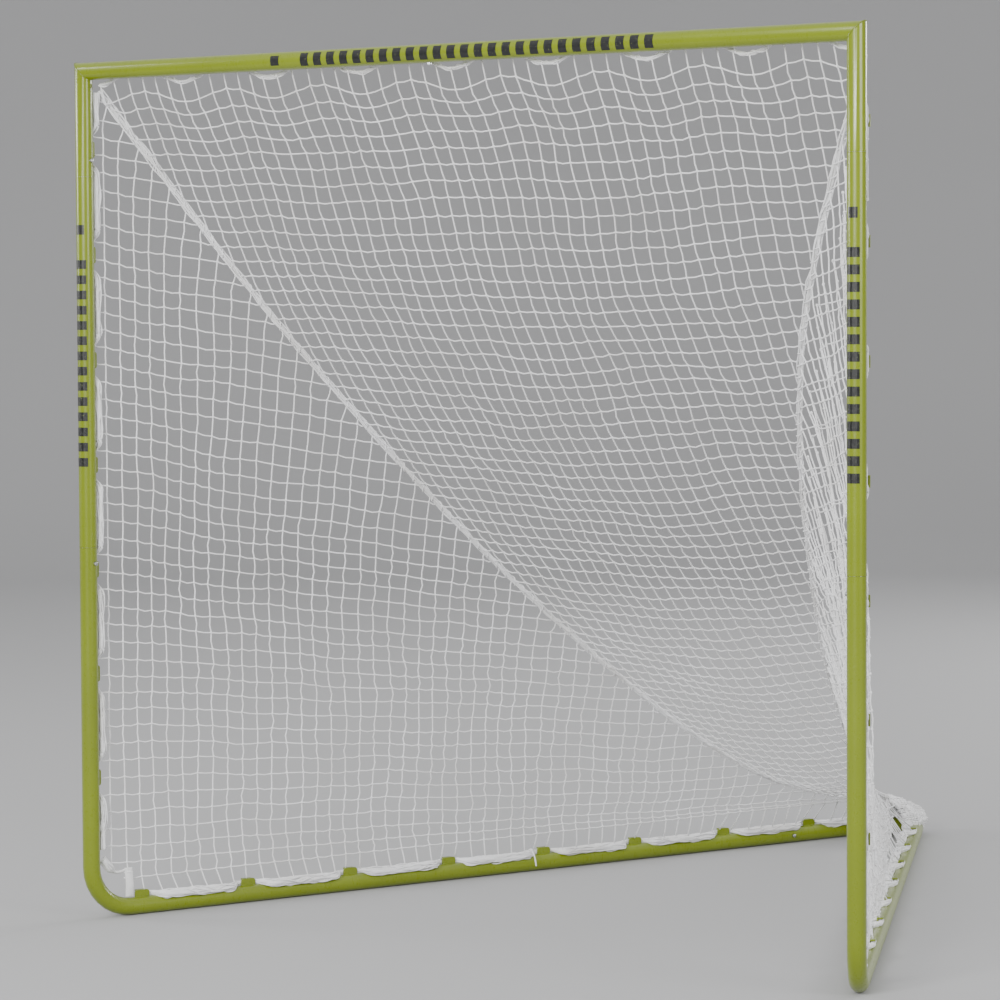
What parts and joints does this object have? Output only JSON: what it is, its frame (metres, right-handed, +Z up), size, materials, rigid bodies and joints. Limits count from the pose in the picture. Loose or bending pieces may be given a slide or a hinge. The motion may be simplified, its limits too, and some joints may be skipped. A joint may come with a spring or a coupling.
{
  "type": "lacrosse goal",
  "caption": "Full-size lacrosse goal: a knock-down painted tube frame with snap-button joints and a pyramid net.",
  "frame": {"origin": "on the ground, bottom centre of the object's bounding box", "axes": "+Z up, +X to the right across the mouth as a shooter sees it, +Y from the mouth back to the apex"},
  "size_m": [1.905, 2.1632, 1.8667],
  "materials": {
    "paint": "glossy yellow-green powder coat over welded steel tube",
    "plated": "zinc plated steel",
    "spring_steel": "bare spring steel",
    "cord": "off-white knotted net cord"
  },
  "bodies": {
    "goal": {"corner_left": "paint", "corner_right": "paint", "post_left": "paint", "post_right": "paint", "lower_left": "paint", "lower_right": "paint", "apex": "paint", "sleeve_crossbar": "plated", "sleeve_upper_left": "plated", "sleeve_lower_left": "plated", "sleeve_rear_left": "plated", "sleeve_upper_right": "plated", "sleeve_lower_right": "plated", "sleeve_rear_right": "plated", "spring_crossbar": "spring_steel", "spring_upper_left": "spring_steel", "spring_lower_left": "spring_steel", "spring_rear_left": "spring_steel", "spring_upper_right": "spring_steel", "spring_lower_right": "spring_steel", "spring_rear_right": "spring_steel", "net_back": "cord", "net_left": "cord", "net_right": "cord", "apex_hood": "cord", "seam_rope_left": "cord", "seam_rope_right": "cord", "edge_post_left": "cord", "edge_post_right": "cord", "edge_base_left": "cord", "edge_base_right": "cord", "edge_crossbar": "cord"},
    "button_crossbar_body": {"button_crossbar": "plated"},
    "button_upper_left_body": {"button_upper_left": "plated"},
    "button_lower_left_body": {"button_lower_left": "plated"},
    "button_rear_left_body": {"button_rear_left": "plated"},
    "button_upper_right_body": {"button_upper_right": "plated"},
    "button_lower_right_body": {"button_lower_right": "plated"},
    "button_rear_right_body": {"button_rear_right": "plated"}
  },
  "joints": [
    {"name": "press_crossbar", "type": "slide", "parent": "goal", "child": "button_crossbar_body", "axis": [0, 0, 1], "range_m": [0, 0.0055], "stiffness_N_per_m": 600, "springref_m": -0.002, "deforming": ["spring_crossbar"]},
    {"name": "press_upper_left", "type": "slide", "parent": "goal", "child": "button_upper_left_body", "axis": [-1, 0, 0], "range_m": [0, 0.0055], "stiffness_N_per_m": 600, "springref_m": -0.002, "deforming": ["spring_upper_left"]},
    {"name": "press_lower_left", "type": "slide", "parent": "goal", "child": "button_lower_left_body", "axis": [-1, 0, 0], "range_m": [0, 0.0055], "stiffness_N_per_m": 600, "springref_m": -0.002, "deforming": ["spring_lower_left"]},
    {"name": "press_rear_left", "type": "slide", "parent": "goal", "child": "button_rear_left_body", "axis": [-0.9208, 0.39, 0], "range_m": [0, 0.0055], "stiffness_N_per_m": 600, "springref_m": -0.002, "deforming": ["spring_rear_left"]},
    {"name": "press_upper_right", "type": "slide", "parent": "goal", "child": "button_upper_right_body", "axis": [1, 0, 0], "range_m": [0, 0.0055], "stiffness_N_per_m": 600, "springref_m": -0.002, "deforming": ["spring_upper_right"]},
    {"name": "press_lower_right", "type": "slide", "parent": "goal", "child": "button_lower_right_body", "axis": [1, 0, 0], "range_m": [0, 0.0055], "stiffness_N_per_m": 600, "springref_m": -0.002, "deforming": ["spring_lower_right"]},
    {"name": "press_rear_right", "type": "slide", "parent": "goal", "child": "button_rear_right_body", "axis": [0.9208, 0.39, 0], "range_m": [0, 0.0055], "stiffness_N_per_m": 600, "springref_m": -0.002, "deforming": ["spring_rear_right"]}
  ]
}
